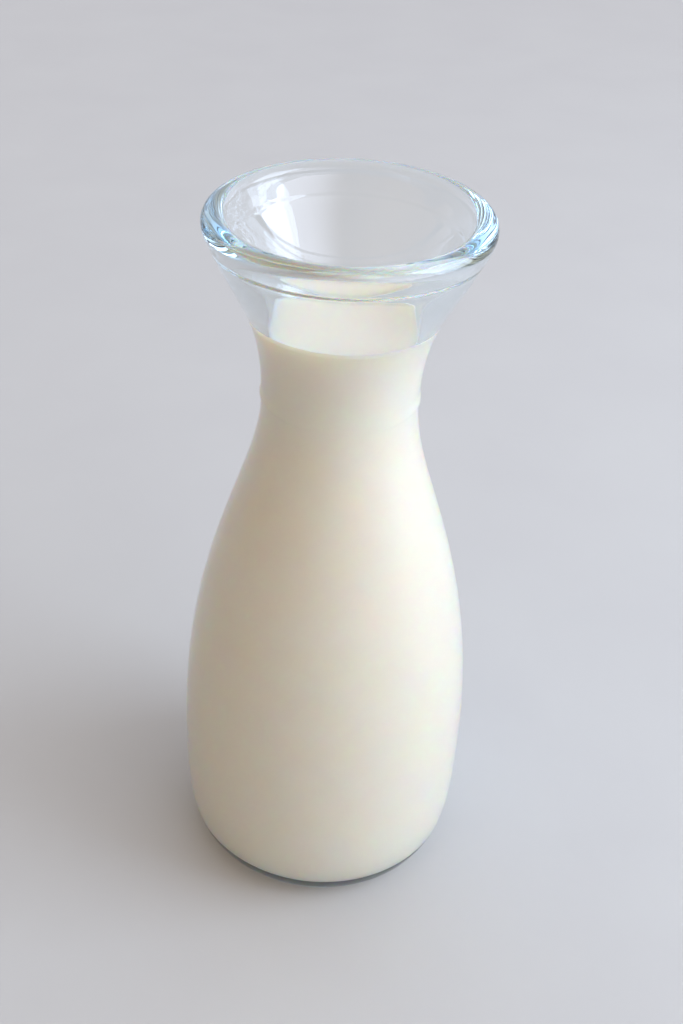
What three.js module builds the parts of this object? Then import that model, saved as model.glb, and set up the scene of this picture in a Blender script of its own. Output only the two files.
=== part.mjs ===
import * as THREE from 'three';

// A half-litre glass carafe with a flared mouth, filled with kefir to the foot of the flare.
// Sizes are millimetres. +Z is up, and the origin is the middle of the base, on the table.
// Both pieces are turned round the Z axis, so each is one outline of [radius, height] points.

// Outside of the glass, from the table up
const HEIGHT = 199.4;
const FOOT_RADIUS = 27.6;
const WIDEST = [41.1, 37.2];
const WAIST = [19.95, 149.8];
const COLLAR = [31.8, 189.5];
const BEAD = [34.5, 196.5];
const CROWN_RADIUS = 31.7;

// How far each curve runs on along its tangent before it bends
const HEEL_PULL = 12.4;
const FLANK_PULL = 31;
const SHOULDER_PULL = 64.7;
const WAIST_PULL_DOWN = 24.6;
const WAIST_PULL_UP = 21.9;
const BEAD_PULL = 2;
const FLARE_LEAN = 0.44;

// The fine raised ring round the neck, where the neck mould met the body mould
const RING_HEIGHT = 150.6;
const RING_EDGE = 0.25;
const RING_WIDTH = 3.5;
const RING_RISE = 0.4;

// Inside of the glass, from the mouth down
const MOUTH = [28.8, 197.6];
const LEDGE_HEIGHT = 192.3;
const LEDGE_OUTER = 27.5;
const LEDGE_INNER = 27.1;
const THROAT = [16, 155];
const THROAT_PULL = 20;
const BORE_LEAN = 0.46;
const BODY_WALL = 3.2;
const FLOOR_THICKNESS = 5.4;
const FLOOR_RADIUS = 24.5;

// The drink
const LEVEL = 173.3;
const CLEARANCE = 0.3;

const SIDES = 60;

const point = ([radius, height]) => new THREE.Vector2(radius, height);

// A smooth curve between two points, pulled towards two handles. The first point is left out.
function curve(start, startHandle, endHandle, end, steps) {
  const bend = new THREE.CubicBezierCurve(...[start, startHandle, endHandle, end].map(point));
  return bend.getPoints(steps).slice(1);
}

// A quarter of an ellipse round a centre, without its first point. Angles are quarter turns.
function quarter([radius, height], width, rise, firstQuarter, lastQuarter, steps) {
  const clockwise = lastQuarter < firstQuarter;
  const angles = [firstQuarter, lastQuarter].map((turn) => (turn * Math.PI) / 2);
  const arc = new THREE.EllipseCurve(radius, height, width, rise, ...angles, clockwise);
  return arc.getPoints(steps).slice(1);
}

// The rounded heel: from the flat foot, along it and then upright into the widest ring.
function heel([footRadius, footHeight], [widestRadius, widestHeight], steps) {
  return curve(
    [footRadius, footHeight],
    [footRadius + HEEL_PULL, footHeight],
    [widestRadius, widestHeight - FLANK_PULL],
    [widestRadius, widestHeight],
    steps,
  );
}

// From the widest ring up to the narrowest, upright at both ends.
function shoulder([widestRadius, widestHeight], [neckRadius, neckHeight], steps) {
  return curve(
    [widestRadius, widestHeight],
    [widestRadius, widestHeight + SHOULDER_PULL],
    [neckRadius, neckHeight - WAIST_PULL_DOWN],
    [neckRadius, neckHeight],
    steps,
  );
}

// From the narrowest ring out to the mouth. It starts upright and ends leaning outwards.
function flare([neckRadius, neckHeight], [endRadius, endHeight], pull, lean, steps) {
  const run = (endHeight - neckHeight) / 3;
  return curve(
    [neckRadius, neckHeight],
    [neckRadius, neckHeight + pull],
    [endRadius - lean * run, endHeight - run],
    [endRadius, endHeight],
    steps,
  );
}

// Lifts the outline over the mould ring, which is sharp below and fades out upwards.
function withRing(outline) {
  const places = [[0, 0], [RING_EDGE, 1], [RING_WIDTH / 2, 0.5], [RING_WIDTH, 0]];
  const ring = places.map(([aboveFoot, share]) => {
    const height = RING_HEIGHT + aboveFoot;
    return new THREE.Vector2(crossing(outline, height) + share * RING_RISE, height);
  });
  const below = outline.filter(({ y }) => y < RING_HEIGHT - 1);
  const above = outline.filter(({ y }) => y > RING_HEIGHT + RING_WIDTH + 1);
  return [...below, ...ring, ...above];
}

// The radius at which an outline crosses a height, looking from its first point on.
function crossing(outline, height) {
  for (let i = 1; i < outline.length; i += 1) {
    const [a, b] = [outline[i - 1], outline[i]];
    const [low, high] = [Math.min(a.y, b.y), Math.max(a.y, b.y)];
    if (high > low && height >= low && height <= high) {
      return a.x + ((b.x - a.x) * (height - a.y)) / (b.y - a.y);
    }
  }
  throw new Error(`no part of the outline is at height ${height}`);
}

// Outside of the glass: base, heel, shoulder, neck, flare and half of the rounded lip.
function glassOutside() {
  const [beadRadius, beadHeight] = BEAD;
  const foot = [FOOT_RADIUS, 0];
  const outline = [new THREE.Vector2(0, 0), point(foot)];
  outline.push(...heel(foot, WIDEST, 10));
  outline.push(...shoulder(WIDEST, WAIST, 14));
  outline.push(...flare(WAIST, COLLAR, WAIST_PULL_UP, FLARE_LEAN, 9));
  const bulge = [beadRadius, beadHeight - BEAD_PULL];
  const lean = [COLLAR[0] + FLARE_LEAN * 1.5, COLLAR[1] + 1.5];
  outline.push(...curve(COLLAR, lean, bulge, BEAD, 3));
  const lipWidth = beadRadius - CROWN_RADIUS;
  outline.push(...quarter([CROWN_RADIUS, beadHeight], lipWidth, HEIGHT - beadHeight, 0, 1, 4));
  return withRing(outline);
}

// The bore from the ledge down to the middle of its floor. The drink fills the same bore.
function bore() {
  const [widestRadius, widestHeight] = WIDEST;
  const boreWidest = [widestRadius - BODY_WALL, widestHeight];
  const floor = [FLOOR_RADIUS, FLOOR_THICKNESS];
  const ledge = [LEDGE_INNER, LEDGE_HEIGHT];
  const upwards = [new THREE.Vector2(0, FLOOR_THICKNESS), point(floor)];
  upwards.push(...heel(floor, boreWidest, 8));
  upwards.push(...shoulder(boreWidest, THROAT, 13));
  upwards.push(...flare(THROAT, ledge, THROAT_PULL, BORE_LEAN, 9));
  return upwards.reverse();
}

// Inside of the glass: the other half of the lip, the mouth, the ledge and the bore.
function glassInside() {
  const [mouthRadius, mouthHeight] = MOUTH;
  const lipWidth = CROWN_RADIUS - mouthRadius;
  return [
    ...quarter([CROWN_RADIUS, mouthHeight], lipWidth, HEIGHT - mouthHeight, 1, 2, 4),
    new THREE.Vector2(LEDGE_OUTER, LEDGE_HEIGHT + 0.2),
    ...bore(),
  ];
}

// The drink's outline: the bore below the level, held clear of the glass by the clearance.
function drinkOutline() {
  const wall = bore();
  const edge = new THREE.Vector2(crossing(wall, LEVEL), LEVEL);
  const wetted = [edge, ...wall.filter(({ y }) => y < LEVEL - 1)];
  const shrunk = wetted.map((here, i) => {
    const before = wetted[Math.max(i - 1, 0)];
    const after = wetted[Math.min(i + 1, wetted.length - 1)];
    const along = new THREE.Vector2().subVectors(after, before).normalize();
    const inwards = new THREE.Vector2(along.y, -along.x).multiplyScalar(CLEARANCE);
    return new THREE.Vector2(Math.max(here.x + inwards.x, 0), here.y + inwards.y);
  });
  shrunk[0].y = LEVEL;
  shrunk[shrunk.length - 1].set(0, FLOOR_THICKNESS + CLEARANCE);
  return [new THREE.Vector2(0, LEVEL), ...shrunk].reverse();
}

// Turns an outline round the Z axis into one named solid.
function turned(name, outline, material) {
  const geometry = new THREE.LatheGeometry(outline, SIDES);
  geometry.rotateX(Math.PI / 2);
  const mesh = new THREE.Mesh(geometry, material);
  mesh.name = name;
  return mesh;
}

const clearGlass = new THREE.MeshStandardMaterial({
  color: '#d3e0e2',
  roughness: 0.03,
  metalness: 0,
  transparent: true,
  opacity: 0.35,
});

const culturedMilk = new THREE.MeshStandardMaterial({
  color: '#efe8db',
  roughness: 0.45,
  metalness: 0,
});

const glassOfKefir = new THREE.Group();
glassOfKefir.add(turned('glass_carafe', [...glassOutside(), ...glassInside()], clearGlass));
glassOfKefir.add(turned('kefir', drinkOutline(), culturedMilk));

export default glassOfKefir;
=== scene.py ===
"""A half-litre glass carafe full of kefir, dressed for its studio picture.

The carafe is one piece of pressed soda-lime glass with a thick wall in its neck and flare. The kefir fills
its bore up to the foot of the flare. Both are turned round the Z axis. Lengths are millimetres until they
reach a mesh or the camera, which are in metres. The lamp's are in metres throughout.
"""

import logging
import math
from dataclasses import dataclass, field
from enum import Enum

import bmesh
import bpy
from mathutils import Matrix, Vector


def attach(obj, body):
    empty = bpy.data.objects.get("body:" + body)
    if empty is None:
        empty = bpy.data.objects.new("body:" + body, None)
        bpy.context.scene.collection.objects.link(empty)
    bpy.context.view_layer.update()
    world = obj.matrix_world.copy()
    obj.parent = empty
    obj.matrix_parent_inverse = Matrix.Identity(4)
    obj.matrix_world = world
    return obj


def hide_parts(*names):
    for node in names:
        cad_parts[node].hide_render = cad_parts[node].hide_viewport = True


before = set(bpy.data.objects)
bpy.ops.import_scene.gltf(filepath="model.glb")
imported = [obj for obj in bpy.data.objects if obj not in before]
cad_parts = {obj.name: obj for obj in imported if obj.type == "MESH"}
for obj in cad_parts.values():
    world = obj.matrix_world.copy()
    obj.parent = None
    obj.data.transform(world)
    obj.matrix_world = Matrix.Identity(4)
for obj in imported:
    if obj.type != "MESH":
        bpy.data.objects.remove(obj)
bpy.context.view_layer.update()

MM = 0.001
BODY = "root"
PHOTO_LONG_SIDE = 1024
SENSOR_LONG_SIDE = 36.0
# Light crosses the thick lip many times before it leaves it. With only 12 bounces it shows black slivers.
GLASS_BOUNCES = 32
GLOSSY_BOUNCES = 16
# The mix node's colour sockets share their names with its number sockets, so they go by their index
MIX_COLOUR_A = 6
MIX_COLOUR_B = 7
MIX_COLOUR_RESULT = 2

Outline = list[tuple[float, float]]
Colour = tuple[float, float, float, float]

log = logging.getLogger("carafe")


class Node(Enum):
    """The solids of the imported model."""

    CARAFE = "glass_carafe"
    KEFIR = "kefir"


class Slot(Enum):
    """The finishes that the record names."""

    CLEAR_GLASS = "clear_glass"
    KEFIR = "kefir"


def linear(hex_colour: str) -> Colour:
    """Turn an sRGB colour into the linear one that shaders take.

    Args:
        hex_colour: The colour as "#rrggbb".

    Returns:
        Linear red, green and blue from 0 to 1, and an alpha of 1.
    """
    channels = [int(hex_colour[i : i + 2], 16) / 255 for i in (1, 3, 5)]
    red, green, blue = (c / 12.92 if c <= 0.04045 else ((c + 0.055) / 1.055) ** 2.4 for c in channels)
    return red, green, blue, 1.0


def add_node(tree: bpy.types.NodeTree, kind: str, settings: dict, links: dict) -> bpy.types.Node:
    """Add one shader node with its settings and the links into it.

    Args:
        tree: The node tree that the node goes into.
        kind: The node's type, such as "ShaderNodeTexNoise".
        settings: Values by name, for the node's sockets or, where it has no such socket, its attributes.
        links: The output socket that feeds each named input socket.

    Returns:
        The new node.
    """
    node = tree.nodes.new(kind)
    for name, value in settings.items():
        if name in node.inputs:
            node.inputs[name].default_value = value
        else:
            setattr(node, name, value)
    for name, source in links.items():
        tree.links.new(source, node.inputs[name])
    return node


def new_material(name: str) -> bpy.types.Material:
    """Make an empty node material of that name."""
    material = bpy.data.materials.new(name)
    material.use_nodes = True
    material.node_tree.nodes.clear()
    return material


def bezier(start: tuple, start_handle: tuple, end_handle: tuple, end: tuple, steps: int) -> Outline:
    """Draw a smooth curve between two points, without its first point.

    Args:
        start: Radius and height where the curve begins.
        start_handle: The handle that it leaves towards.
        end_handle: The handle that it arrives from.
        end: Radius and height where it ends.
        steps: How many points it gets.

    Returns:
        The points after the first one.
    """
    points = []
    for i in range(1, steps + 1):
        t = i / steps
        weights = ((1 - t) ** 3, 3 * t * (1 - t) ** 2, 3 * t * t * (1 - t), t**3)
        corners = (start, start_handle, end_handle, end)
        points.append(tuple(sum(w * c[k] for w, c in zip(weights, corners)) for k in (0, 1)))
    return points


def quarter(centre: tuple, width: float, rise: float, first: int, last: int, steps: int) -> Outline:
    """Draw a quarter of an ellipse, without its first point.

    Args:
        centre: Radius and height of the middle.
        width: Half its size across.
        rise: Half its size upwards.
        first: Where it begins, in quarter turns.
        last: Where it ends, in quarter turns.
        steps: How many points it gets.

    Returns:
        The points after the first one.
    """
    angles = ((first + (last - first) * i / steps) * math.pi / 2 for i in range(1, steps + 1))
    return [(centre[0] + width * math.cos(a), centre[1] + rise * math.sin(a)) for a in angles]


def radius_at(outline: Outline, height: float) -> float:
    """Find the radius at which an outline first crosses a height.

    Args:
        outline: Points of radius and height.
        height: The height to look at.

    Returns:
        The radius there.
    """
    for (r0, z0), (r1, z1) in zip(outline, outline[1:]):
        if z0 != z1 and min(z0, z1) <= height <= max(z0, z1):
            return r0 + (r1 - r0) * (height - z0) / (z1 - z0)
    raise ValueError(f"the outline doesn't reach height {height}")


def turned_mesh(name: str, outline: Outline, sides: int) -> bpy.types.Mesh:
    """Turn an outline round the Z axis into a smooth mesh.

    Args:
        name: The mesh's name.
        outline: Points of radius and height in millimetres, from axis to axis, or out to an open rim.
        sides: How many faces go round.

    Returns:
        The mesh in metres. Where it is closed, its faces point out.
    """
    bm = bmesh.new()
    turns = [(math.cos(a), math.sin(a)) for a in (2 * math.pi * i / sides for i in range(sides))]
    rings = []
    for radius, height in outline:
        spots = turns if radius > 0 else [(0, 0)]
        rings.append([bm.verts.new((radius * x * MM, radius * y * MM, height * MM)) for x, y in spots])
    for low, high in zip(rings, rings[1:]):
        for i in range(sides):
            j = (i + 1) % sides
            corners = [low[i % len(low)], low[j % len(low)], high[j % len(high)], high[i % len(high)]]
            bm.faces.new(list(dict.fromkeys(corners)))
    bmesh.ops.recalc_face_normals(bm, faces=bm.faces)
    mesh = bpy.data.meshes.new(name)
    bm.to_mesh(mesh)
    bm.free()
    mesh.shade_smooth()
    return mesh


def shown(name: str, mesh: bpy.types.Mesh) -> bpy.types.Object:
    """Link a mesh into the scene under a name and log its size."""
    piece = bpy.data.objects.new(name, mesh)
    bpy.context.scene.collection.objects.link(piece)
    log.info("%s: %d faces", name, len(mesh.polygons))
    return piece


@dataclass(frozen=True)
class PressedSodaLimeGlass:
    """Soda-lime glass, pressed in a mould and fire-polished.

    It is clear and very smooth. Iron in the sand lends its long paths a faint blue, which gathers in the
    thick lip. Its skin keeps the slow waves of the mould, so that reflections of a window have wobbly edges.
    """

    name: str = "pressed_soda_lime_glass"
    tint: str = "#fbfdfd"
    ior: float = 1.52
    roughness: float = 0.004
    deep_tint: Colour = (0.28, 0.65, 0.83, 1.0)
    absorption_per_m: float = 8.0
    wave_mm: float = 14.0
    wave_depth_mm: float = 0.04

    def build(self) -> bpy.types.Material:
        """Make the node material.

        Returns:
            The material, with its tint in the volume and its mould waves in the normal.
        """
        material = new_material(self.name)
        tree = material.node_tree
        place = add_node(tree, "ShaderNodeTexCoord", {}, {})
        waves = add_node(
            tree,
            "ShaderNodeTexNoise",
            {"Scale": 1 / (self.wave_mm * MM), "Detail": 1.0, "Roughness": 0.35},
            {"Vector": place.outputs["Object"]},
        )
        skin = add_node(
            tree,
            "ShaderNodeBump",
            {"Strength": 1.0, "Distance": self.wave_depth_mm * MM},
            {"Height": waves.outputs["Fac"]},
        )
        glass = add_node(
            tree,
            "ShaderNodeBsdfPrincipled",
            {
                "Base Color": linear(self.tint),
                "Roughness": self.roughness,
                "IOR": self.ior,
                "Transmission Weight": 1.0,
            },
            {"Normal": skin.outputs["Normal"]},
        )
        depth = add_node(
            tree,
            "ShaderNodeVolumeAbsorption",
            {"Color": self.deep_tint, "Density": self.absorption_per_m},
            {},
        )
        links = {"Surface": glass.outputs["BSDF"], "Volume": depth.outputs["Volume"]}
        add_node(tree, "ShaderNodeOutputMaterial", {}, links)
        return material


@dataclass(frozen=True)
class CulturedMilk:
    """Kefir: thick cultured milk, poured and settled.

    Light goes a few millimetres into it and comes back warm, so its shadow side turns to tan, while its lit
    side is a creamy white. Fine curd makes it slightly cloudy.
    """

    name: str = "cultured_milk"
    cream: str = "#fcf2e6"
    curd: str = "#f8eede"
    ior: float = 1.35
    roughness: float = 0.3
    gloss: float = 0.5
    scatter_mm: float = 8.0
    scatter_reach: tuple[float, float, float] = (1.0, 0.6, 0.27)
    cloud_mm: float = 9.0
    curd_mm: float = 1.1
    curd_depth_mm: float = 0.05

    def build(self) -> bpy.types.Material:
        """Make the node material.

        Returns:
            The material, with clouds of curd in its colour and fine grain in its normal.
        """
        material = new_material(self.name)
        tree = material.node_tree
        place = add_node(tree, "ShaderNodeTexCoord", {}, {})
        clouds = add_node(
            tree,
            "ShaderNodeTexNoise",
            {"Scale": 1 / (self.cloud_mm * MM), "Detail": 4.0, "Roughness": 0.55},
            {"Vector": place.outputs["Object"]},
        )
        colour = add_node(
            tree,
            "ShaderNodeMix",
            {"data_type": "RGBA"},
            {"Factor": clouds.outputs["Fac"]},
        )
        colour.inputs[MIX_COLOUR_A].default_value = linear(self.cream)
        colour.inputs[MIX_COLOUR_B].default_value = linear(self.curd)
        grain = add_node(
            tree,
            "ShaderNodeTexNoise",
            {"Scale": 1 / (self.curd_mm * MM), "Detail": 2.0, "Roughness": 0.6},
            {"Vector": place.outputs["Object"]},
        )
        relief = add_node(
            tree,
            "ShaderNodeBump",
            {"Strength": 0.4, "Distance": self.curd_depth_mm * MM},
            {"Height": grain.outputs["Fac"]},
        )
        milk = add_node(
            tree,
            "ShaderNodeBsdfPrincipled",
            {
                "Roughness": self.roughness,
                "IOR": self.ior,
                "Specular IOR Level": self.gloss,
                "Subsurface Weight": 1.0,
                "Subsurface Radius": self.scatter_reach,
                "Subsurface Scale": self.scatter_mm * MM,
            },
            {"Base Color": colour.outputs[MIX_COLOUR_RESULT], "Normal": relief.outputs["Normal"]},
        )
        add_node(tree, "ShaderNodeOutputMaterial", {}, {"Surface": milk.outputs["BSDF"]})
        return material


@dataclass(frozen=True)
class HonedStone:
    """Pale honed stone for the studio floor: matt, with faint clouds."""

    name: str = "honed_pale_stone"
    light: str = "#afb1b0"
    dark: str = "#a9aaaa"
    roughness: float = 0.55
    cloud_mm: float = 60.0

    def build(self) -> bpy.types.Material:
        """Make the node material.

        Returns:
            The material, with its clouds in its colour.
        """
        material = new_material(self.name)
        tree = material.node_tree
        place = add_node(tree, "ShaderNodeTexCoord", {}, {})
        clouds = add_node(
            tree,
            "ShaderNodeTexNoise",
            {"Scale": 1 / (self.cloud_mm * MM), "Detail": 5.0, "Roughness": 0.5},
            {"Vector": place.outputs["Object"]},
        )
        colour = add_node(
            tree,
            "ShaderNodeMix",
            {"data_type": "RGBA"},
            {"Factor": clouds.outputs["Fac"]},
        )
        colour.inputs[MIX_COLOUR_A].default_value = linear(self.light)
        colour.inputs[MIX_COLOUR_B].default_value = linear(self.dark)
        stone = add_node(
            tree,
            "ShaderNodeBsdfPrincipled",
            {"Roughness": self.roughness},
            {"Base Color": colour.outputs[MIX_COLOUR_RESULT]},
        )
        add_node(tree, "ShaderNodeOutputMaterial", {}, {"Surface": stone.outputs["BSDF"]})
        return material


@dataclass
class Carafe:
    """The glass: its outside and its bore, as radius and height in millimetres."""

    height: float = 199.4
    foot_radius: float = 27.6
    widest: tuple[float, float] = (41.1, 37.2)
    waist: tuple[float, float] = (19.95, 149.8)
    collar: tuple[float, float] = (31.8, 189.5)
    bead: tuple[float, float] = (34.5, 196.5)
    crown_radius: float = 31.7
    heel_pull: float = 12.4
    flank_pull: float = 31.0
    shoulder_pull: float = 64.7
    waist_pull_down: float = 24.6
    waist_pull_up: float = 21.9
    bead_pull: float = 2.0
    collar_pull: float = 1.5
    flare_lean: float = 0.44
    ring_height: float = 150.6
    ring_edge: float = 0.25
    ring_width: float = 3.5
    ring_rise: float = 0.4
    ring_edge_steps: int = 6
    ring_slope_steps: int = 12
    mouth: tuple[float, float] = (28.8, 197.6)
    mouth_pull: float = 1.0
    ledge_height: float = 192.3
    ledge_outer: float = 27.5
    ledge_inner: float = 27.1
    ledge_round: float = 0.4
    ledge_pull: tuple[float, float] = (0.1, 0.5)
    throat: tuple[float, float] = (16.0, 155.0)
    throat_pull: float = 20.0
    bore_lean: float = 0.46
    body_wall: float = 3.2
    floor_thickness: float = 5.4
    floor_radius: float = 24.5
    sides: int = 240
    glass: PressedSodaLimeGlass = field(default_factory=PressedSodaLimeGlass)

    def heel(self, foot: tuple, widest: tuple, steps: int) -> Outline:
        """Round the heel, from a flat foot into the upright widest ring."""
        along = (foot[0] + self.heel_pull, foot[1])
        return bezier(foot, along, (widest[0], widest[1] - self.flank_pull), widest, steps)

    def shoulder(self, widest: tuple, neck: tuple, steps: int) -> Outline:
        """Rise from the widest ring to the narrowest, upright at both ends."""
        above = (widest[0], widest[1] + self.shoulder_pull)
        return bezier(widest, above, (neck[0], neck[1] - self.waist_pull_down), neck, steps)

    def flare(self, neck: tuple, end: tuple, pull: float, lean: float, steps: int) -> Outline:
        """Open from the narrowest ring to the mouth, upright at first and leaning at the end."""
        run = (end[1] - neck[1]) / 3
        below = (end[0] - lean * run, end[1] - run)
        return bezier(neck, (neck[0], neck[1] + pull), below, end, steps)

    def with_ring(self, outline: Outline) -> Outline:
        """Raise the fine ring round the neck, where the neck mould met the body mould.

        Args:
            outline: The outside of the glass.

        Returns:
            The outline, with a low ring that is sharp below and fades out upwards.
        """
        top = self.ring_height + self.ring_width
        slope = self.ring_width - self.ring_edge
        up = [i / self.ring_edge_steps for i in range(self.ring_edge_steps + 1)]
        down = [i / self.ring_slope_steps for i in range(1, self.ring_slope_steps + 1)]
        places = [(self.ring_edge * part, part) for part in up]
        places += [(self.ring_edge + slope * part, 1 - part) for part in down]
        ring = []
        for above_foot, share in places:
            height = self.ring_height + above_foot
            rise = self.ring_rise * (1 - math.cos(math.pi * share)) / 2
            ring.append((radius_at(outline, height) + rise, height))
        below = [p for p in outline if p[1] < self.ring_height]
        above = [p for p in outline if p[1] > top]
        return below + ring + above

    def outside(self) -> Outline:
        """Trace the outside, from the middle of the foot up to the crown of the lip.

        Returns:
            The outline's points.
        """
        foot = (self.foot_radius, 0.0)
        outline = [(0.0, 0.0), (self.foot_radius * 0.5, 0.0), foot]
        outline += self.heel(foot, self.widest, steps=36)
        outline += self.shoulder(self.widest, self.waist, steps=64)
        outline += self.flare(self.waist, self.collar, self.waist_pull_up, self.flare_lean, steps=40)
        bulge = (self.bead[0], self.bead[1] - self.bead_pull)
        lean = (self.collar[0] + self.flare_lean * self.collar_pull, self.collar[1] + self.collar_pull)
        outline += bezier(self.collar, lean, bulge, self.bead, steps=12)
        crown = (self.crown_radius, self.bead[1])
        outline += quarter(crown, self.bead[0] - crown[0], self.height - crown[1], 0, 1, steps=14)
        return self.with_ring(outline)

    def bore(self) -> Outline:
        """Trace the bore, from the ledge down to the middle of its floor.

        Returns:
            The outline's points. The kefir fills the same bore.
        """
        widest = (self.widest[0] - self.body_wall, self.widest[1])
        floor = (self.floor_radius, self.floor_thickness)
        ledge = (self.ledge_inner, self.ledge_height)
        upwards = [(0.0, self.floor_thickness), (self.floor_radius * 0.5, self.floor_thickness), floor]
        upwards += self.heel(floor, widest, steps=30)
        upwards += self.shoulder(widest, self.throat, steps=60)
        upwards += self.flare(self.throat, ledge, self.throat_pull, self.bore_lean, steps=40)
        return upwards[::-1]

    def inside(self) -> Outline:
        """Trace the inside: the other half of the lip, the mouth, the ledge and the bore.

        Returns:
            The outline's points, from the crown of the lip down.
        """
        lip_width = self.crown_radius - self.mouth[0]
        crown = (self.crown_radius, self.mouth[1])
        outline = quarter(crown, lip_width, self.height - self.mouth[1], 1, 2, steps=14)
        edge = (self.ledge_outer, self.ledge_height + self.ledge_round)
        bore = self.bore()
        start = next(i for i, p in enumerate(bore) if p[1] < self.ledge_height - self.ledge_round)
        below = bore[start]
        inwards, upwards = self.ledge_pull
        outline += bezier(self.mouth, (self.mouth[0], self.mouth[1] - self.mouth_pull), edge, edge, steps=8)
        outline += bezier(
            edge,
            (edge[0] - inwards, self.ledge_height),
            (below[0] + inwards, below[1] + upwards),
            below,
            steps=8,
        )
        return outline + bore[start + 1 :]

    def build(self) -> bpy.types.Object:
        """Make the glass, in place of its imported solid.

        Returns:
            The dressed piece.
        """
        mesh = turned_mesh("carafe_wall", self.outside() + self.inside(), self.sides)
        piece = shown("carafe", mesh)
        self.dress(piece)
        return piece

    def dress(self, piece: bpy.types.Object) -> None:
        """Give the glass its finish and tie it to the model."""
        piece.data.materials.append(self.glass.build())
        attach(piece, BODY)
        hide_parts(Node.CARAFE.value)


@dataclass
class Kefir:
    """The drink, up to its level in a carafe's bore.

    Its open surface has a soft sheen. Where it wets the glass, with no air between them, it has hardly any.
    """

    carafe: Carafe
    level: float = 173.3
    level_slack: float = 0.001
    bite: float = 0.35
    meniscus_rise: float = 0.6
    meniscus_reach: float = 5.0
    meniscus_fall: float = 1.0
    meniscus_steps: int = 12
    meniscus_crowding: float = 1.6
    sides: int = 192
    surface: CulturedMilk = field(default_factory=CulturedMilk)
    wetted: CulturedMilk = field(
        default_factory=lambda: CulturedMilk(name="cultured_milk_against_glass", gloss=0.02)
    )

    def outline(self) -> Outline:
        """Trace the drink, from the middle of its surface down to the middle of the floor.

        Returns:
            The outline's points.
        """
        bore = self.carafe.bore()
        edge = radius_at(bore, self.level)
        top: Outline = [(0.0, self.level)]
        top += [(edge * 0.2 * i, self.level) for i in range(1, 4)]
        for i in range(self.meniscus_steps + 1):
            gap = self.meniscus_reach * (1 - i / self.meniscus_steps) ** self.meniscus_crowding
            top.append((edge - gap, self.level + self.meniscus_rise * math.exp(-gap / self.meniscus_fall)))
        top.append((edge + self.bite + self.meniscus_rise * 0.5, self.level + self.meniscus_rise))
        wetted = [p for p in bore if p[1] < self.level - 0.5]
        side = []
        for before, here, after in zip([(edge, self.level)] + wetted, wetted, wetted[1:]):
            along = (after[0] - before[0], after[1] - before[1])
            length = math.hypot(*along)
            side.append((here[0] - along[1] / length * self.bite, here[1] + along[0] / length * self.bite))
        side.append((0.0, self.carafe.floor_thickness - self.bite))
        return top + side

    def build(self) -> bpy.types.Object:
        """Make the kefir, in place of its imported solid.

        Returns:
            The dressed piece.
        """
        mesh = turned_mesh("kefir_fill", self.outline(), self.sides)
        piece = shown("kefir_fill", mesh)
        for face in mesh.polygons:
            lowest = min(mesh.vertices[v].co.z for v in face.vertices)
            face.material_index = 0 if lowest >= (self.level - self.level_slack) * MM else 1
        self.dress(piece)
        return piece

    def dress(self, piece: bpy.types.Object) -> None:
        """Give the kefir its two finishes and tie it to the model."""
        piece.data.materials.append(self.surface.build())
        piece.data.materials.append(self.wetted.build())
        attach(piece, BODY)
        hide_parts(Node.KEFIR.value)


@dataclass
class StudioFloor:
    """The pale floor that the carafe stands on.

    Its far rim curves up a little, so that the picture shows no hard horizon mirrored in the shoulder.
    """

    flat_mm: float = 2500.0
    radius_mm: float = 5000.0
    rim_rise_mm: float = 350.0
    rim_steps: int = 12
    drop_mm: float = 0.1
    sides: int = 96
    stone: HonedStone = field(default_factory=HonedStone)

    def build(self) -> bpy.types.Object:
        """Make the floor as a very wide shallow dish, whose flat middle lies just under the foot.

        Returns:
            The floor.
        """
        outline = [(0.0, -self.drop_mm)]
        for i in range(self.rim_steps + 1):
            out = i / self.rim_steps
            radius = self.flat_mm + (self.radius_mm - self.flat_mm) * out
            outline.append((radius, self.rim_rise_mm * out**2 - self.drop_mm))
        mesh = turned_mesh("studio_floor", outline, self.sides)
        floor = shown("studio_floor", mesh)
        mesh.materials.append(self.stone.build())
        return floor


@dataclass(frozen=True)
class Softbox:
    """A large soft lamp that faces the carafe."""

    name: str
    place_m: tuple[float, float, float]
    size_m: tuple[float, float]
    watts: float
    colour: str
    aim_m: tuple[float, float, float] = (0.0, 0.0, 0.1)

    def build(self) -> bpy.types.Object:
        """Make the lamp.

        Returns:
            The lamp's object.
        """
        lamp = bpy.data.lights.new(self.name, "AREA")
        lamp.shape = "RECTANGLE"
        lamp.size, lamp.size_y = self.size_m
        lamp.energy = self.watts
        lamp.color = linear(self.colour)[:3]
        holder = bpy.data.objects.new(self.name, lamp)
        bpy.context.scene.collection.objects.link(holder)
        holder.location = self.place_m
        aim = Vector(self.aim_m) - holder.location
        holder.rotation_euler = aim.to_track_quat("-Z", "Y").to_euler()
        return holder


@dataclass(frozen=True)
class Glow:
    """The soft light of one side of the room, brightest straight along its direction.

    It fades out where the cosine of the angle from that direction falls to the edge.
    """

    direction: tuple[float, float, float]
    colour: str
    strength: float
    edge: float = 0.0


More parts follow.
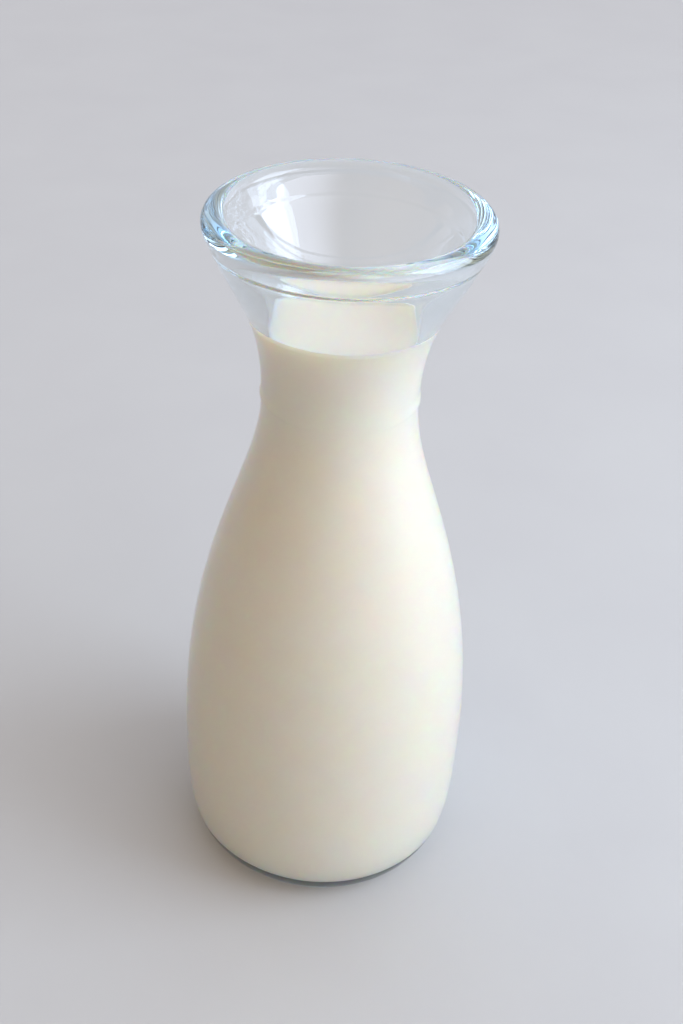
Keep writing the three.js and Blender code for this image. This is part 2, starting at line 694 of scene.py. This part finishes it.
@dataclass
class StudioLight:
    """A window-like softbox on the right, and a pale room that glows softly from each side."""

    window: Softbox = Softbox("window", (0.84, -0.12, 0.56), (0.6, 1.1), 9.5, "#dbeaff")
    haze: str = "#fff4ec"
    haze_strength: float = 0.33
    room: tuple[Glow, ...] = (
        Glow((1.0, 0.0, 0.0), "#e9f0ff", 1.31),
        Glow((0.866, -0.5, 0.0), "#e8edff", 2.34, 0.45),
        Glow((-1.0, 0.0, 0.0), "#ffd095", 0.39),
        Glow((0.0, -1.0, 0.0), "#ffd394", 0.36),
        Glow((0.0, 1.0, 0.0), "#c8deff", 1.25),
        Glow((0.0, 0.0, 1.0), "#ffe0b4", 0.2),
    )

    def build(self) -> None:
        """Make the lamp and the room's light."""
        self.window.build()
        world = bpy.data.worlds.new("pale_room")
        bpy.context.scene.world = world
        world.use_nodes = True
        tree = world.node_tree
        tree.nodes.clear()
        outlook = add_node(tree, "ShaderNodeTexCoord", {}, {}).outputs["Generated"]
        haze = {"Color": linear(self.haze), "Strength": self.haze_strength}
        total = add_node(tree, "ShaderNodeBackground", haze, {}).outputs["Background"]
        for glow in self.room:
            facing = add_node(tree, "ShaderNodeVectorMath", {"operation": "DOT_PRODUCT"}, {})
            facing.inputs[1].default_value = glow.direction
            tree.links.new(outlook, facing.inputs[0])
            soft = {"interpolation_type": "SMOOTHSTEP", "From Min": glow.edge, "To Max": glow.strength}
            fade = add_node(tree, "ShaderNodeMapRange", soft, {"Value": facing.outputs["Value"]})
            light = {"Color": linear(glow.colour)}
            side = add_node(tree, "ShaderNodeBackground", light, {"Strength": fade.outputs["Result"]})
            both = add_node(tree, "ShaderNodeAddShader", {}, {})
            tree.links.new(total, both.inputs[0])
            tree.links.new(side.outputs["Background"], both.inputs[1])
            total = both.outputs["Shader"]
        add_node(tree, "ShaderNodeOutputWorld", {}, {"Surface": total})


@dataclass
class PictureCamera:
    """The camera, looking down along +Y from in front of the carafe."""

    place_mm: tuple[float, float, float] = (-14.2, -282.2, 316.7)
    pitch_deg: float = 35.83
    roll_deg: float = 1.434
    focal_px: float = 1293.0
    off_centre_px: float = 60.9

    def build(self) -> bpy.types.Object:
        """Make the camera and look through it.

        Returns:
            The camera's object.
        """
        lens = bpy.data.cameras.new("picture_camera")
        lens.sensor_width = SENSOR_LONG_SIDE
        lens.lens = self.focal_px / PHOTO_LONG_SIDE * SENSOR_LONG_SIDE
        lens.shift_x = self.off_centre_px / PHOTO_LONG_SIDE
        lens.clip_start = 0.01
        camera = bpy.data.objects.new("picture_camera", lens)
        bpy.context.scene.collection.objects.link(camera)
        level = Matrix.Rotation(math.radians(90 - self.pitch_deg), 4, "X")
        rolled = level @ Matrix.Rotation(math.radians(self.roll_deg), 4, "Z")
        camera.matrix_world = Matrix.Translation(Vector(self.place_mm) * MM) @ rolled
        bpy.context.scene.camera = camera
        return camera


def main() -> None:
    """Build the studio, the carafe and the kefir, and log each piece."""
    logging.basicConfig(level=logging.INFO, format="%(name)s: %(message)s")
    scene = bpy.context.scene
    scene.view_settings.view_transform = "Standard"
    scene.cycles.max_bounces = GLASS_BOUNCES
    scene.cycles.transmission_bounces = GLASS_BOUNCES
    scene.cycles.glossy_bounces = GLOSSY_BOUNCES
    PictureCamera().build()
    StudioLight().build()
    StudioFloor().build()
    carafe = Carafe()
    carafe.build()
    Kefir(carafe).build()


if __name__ == "__main__":
    main()
